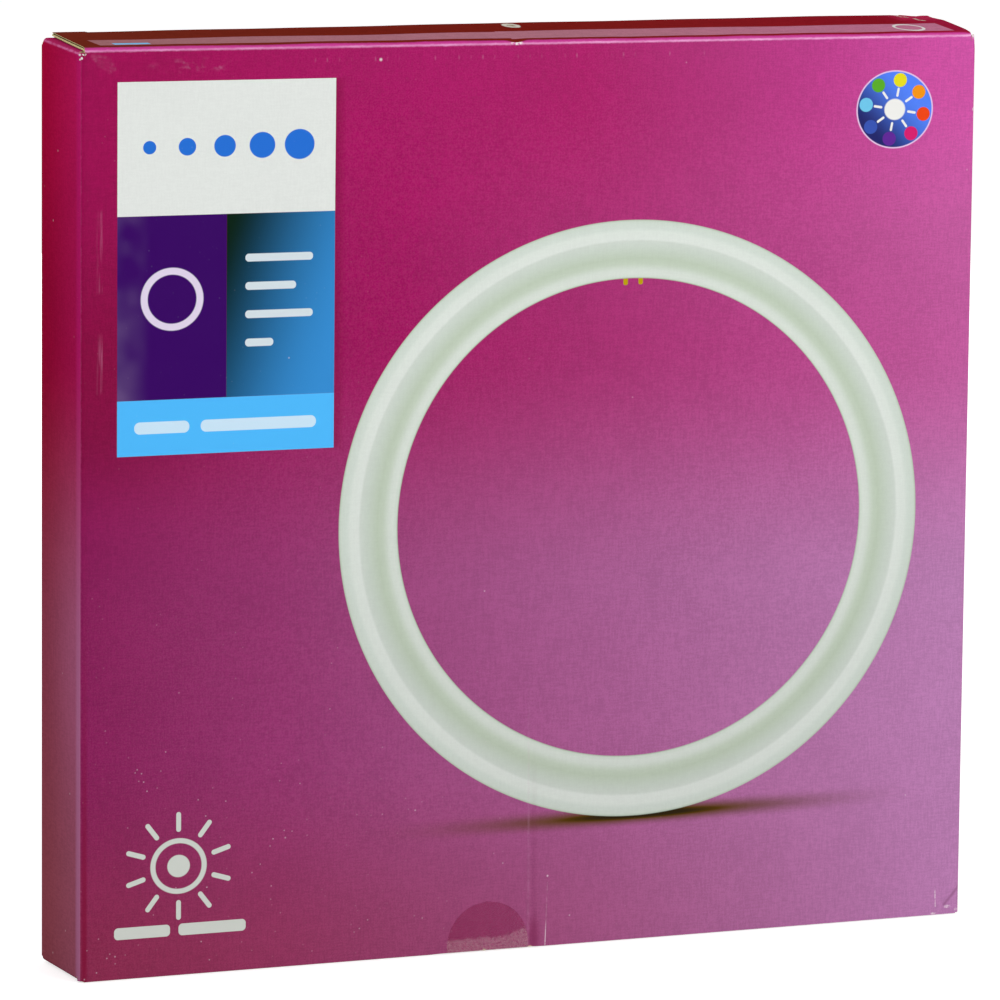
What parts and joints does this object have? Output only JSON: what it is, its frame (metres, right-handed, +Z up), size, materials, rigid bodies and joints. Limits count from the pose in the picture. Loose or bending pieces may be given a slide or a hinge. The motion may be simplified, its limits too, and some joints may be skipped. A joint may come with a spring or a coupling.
{
  "type": "sealed folding carton",
  "caption": "Closed upright folding carton of thin printed board for a ring lamp, with a tuck lid held by slit-lock ears and a round clear film seal over its lower front edge.",
  "frame": {"origin": "middle of the base, on the surface that the carton stands on", "axes": "+Z up, +X to the right of the front panel, -Y out of the front panel"},
  "size_m": [0.328, 0.0391, 0.313],
  "materials": {
    "printed_board": "satin",
    "clear_film": "gloss"
  },
  "bodies": {
    "root": {"carton": "printed_board", "bottom_seal": "clear_film"}
  },
  "joints": []
}
